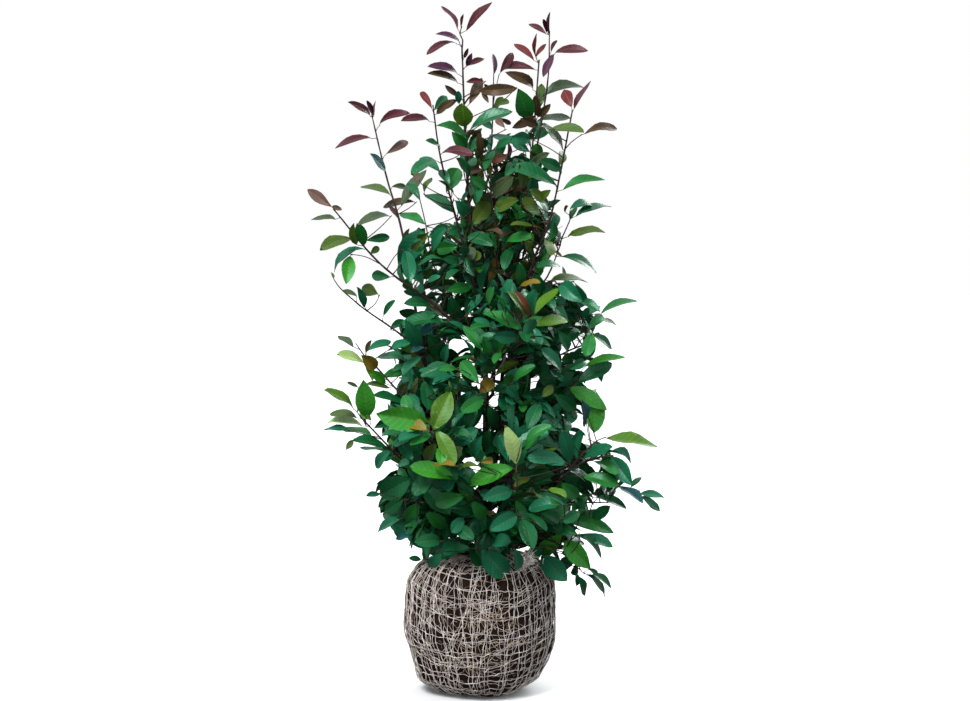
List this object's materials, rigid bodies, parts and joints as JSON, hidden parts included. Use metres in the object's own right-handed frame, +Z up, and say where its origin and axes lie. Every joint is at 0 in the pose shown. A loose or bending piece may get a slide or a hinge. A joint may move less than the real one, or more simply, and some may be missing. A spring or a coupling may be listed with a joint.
{
  "type": "evergreen hedging shrub with a netted root ball",
  "caption": "Young upright evergreen hedging shrub with glossy green leaves and red-purple tips, standing on its soil root ball wrapped in a loose net.",
  "frame": {"origin": "middle of the flat underside of the root ball, on the ground", "axes": "+Z up along the trunk, -Y towards the front"},
  "size_m": [0.861, 0.7144, 1.6522],
  "materials": {
    "soil": "matt, crumbly",
    "net": "matt, coarse strands",
    "bark": "satin, finely ridged",
    "leaf": "glossy",
    "young_leaf": "satin"
  },
  "bodies": {
    "root": {"bough_back_left": "bark", "bough_back_low_left": "bark", "bough_back_low_right": "bark", "bough_back_right": "bark", "bough_front_left": "bark", "bough_front_right": "bark", "bough_front_upper": "bark", "bough_left_long": "bark", "bough_left_low": "bark", "bough_left_mid": "bark", "bough_left_rising": "bark", "bough_right_drop": "bark", "bough_right_low": "bark", "bough_right_out": "bark", "bough_right_spread": "bark", "bough_right_up": "bark", "foliage_back_left": "leaf", "foliage_back_low_left": "leaf", "foliage_back_low_right": "leaf", "foliage_back_right": "leaf", "foliage_back_upper": "leaf", "foliage_centre_left_tip": "young_leaf", "foliage_centre_tip": "young_leaf", "foliage_core_front": "leaf", "foliage_core_left": "leaf", "foliage_core_right": "leaf", "foliage_far_right_tip": "young_leaf", "foliage_front_left": "leaf", "foliage_front_right": "leaf", "foliage_front_upper": "leaf", "foliage_left_long": "leaf", "foliage_left_low": "leaf", "foliage_left_reach": "leaf", "foliage_left_rise": "leaf", "foliage_left_tip": "young_leaf", "foliage_low_front": "leaf", "foliage_low_left": "leaf", "foliage_low_right": "leaf", "foliage_mid_centre": "leaf", "foliage_mid_left": "leaf", "foliage_mid_right": "leaf", "foliage_right_drop": "leaf", "foliage_right_low": "leaf", "foliage_right_out": "leaf", "foliage_right_riser": "leaf", "foliage_right_spread": "leaf", "foliage_top": "young_leaf", "foliage_top_right": "young_leaf", "foliage_upper_centre": "leaf", "foliage_upper_left": "leaf", "foliage_upper_right": "leaf", "leader_far_right": "bark", "leader_left": "bark", "leader_right": "bark", "leader_right_twin": "bark", "root_ball": "soil", "stem_centre_left": "bark", "stem_centre_right": "bark", "trunk": "bark"}
  },
  "joints": []
}
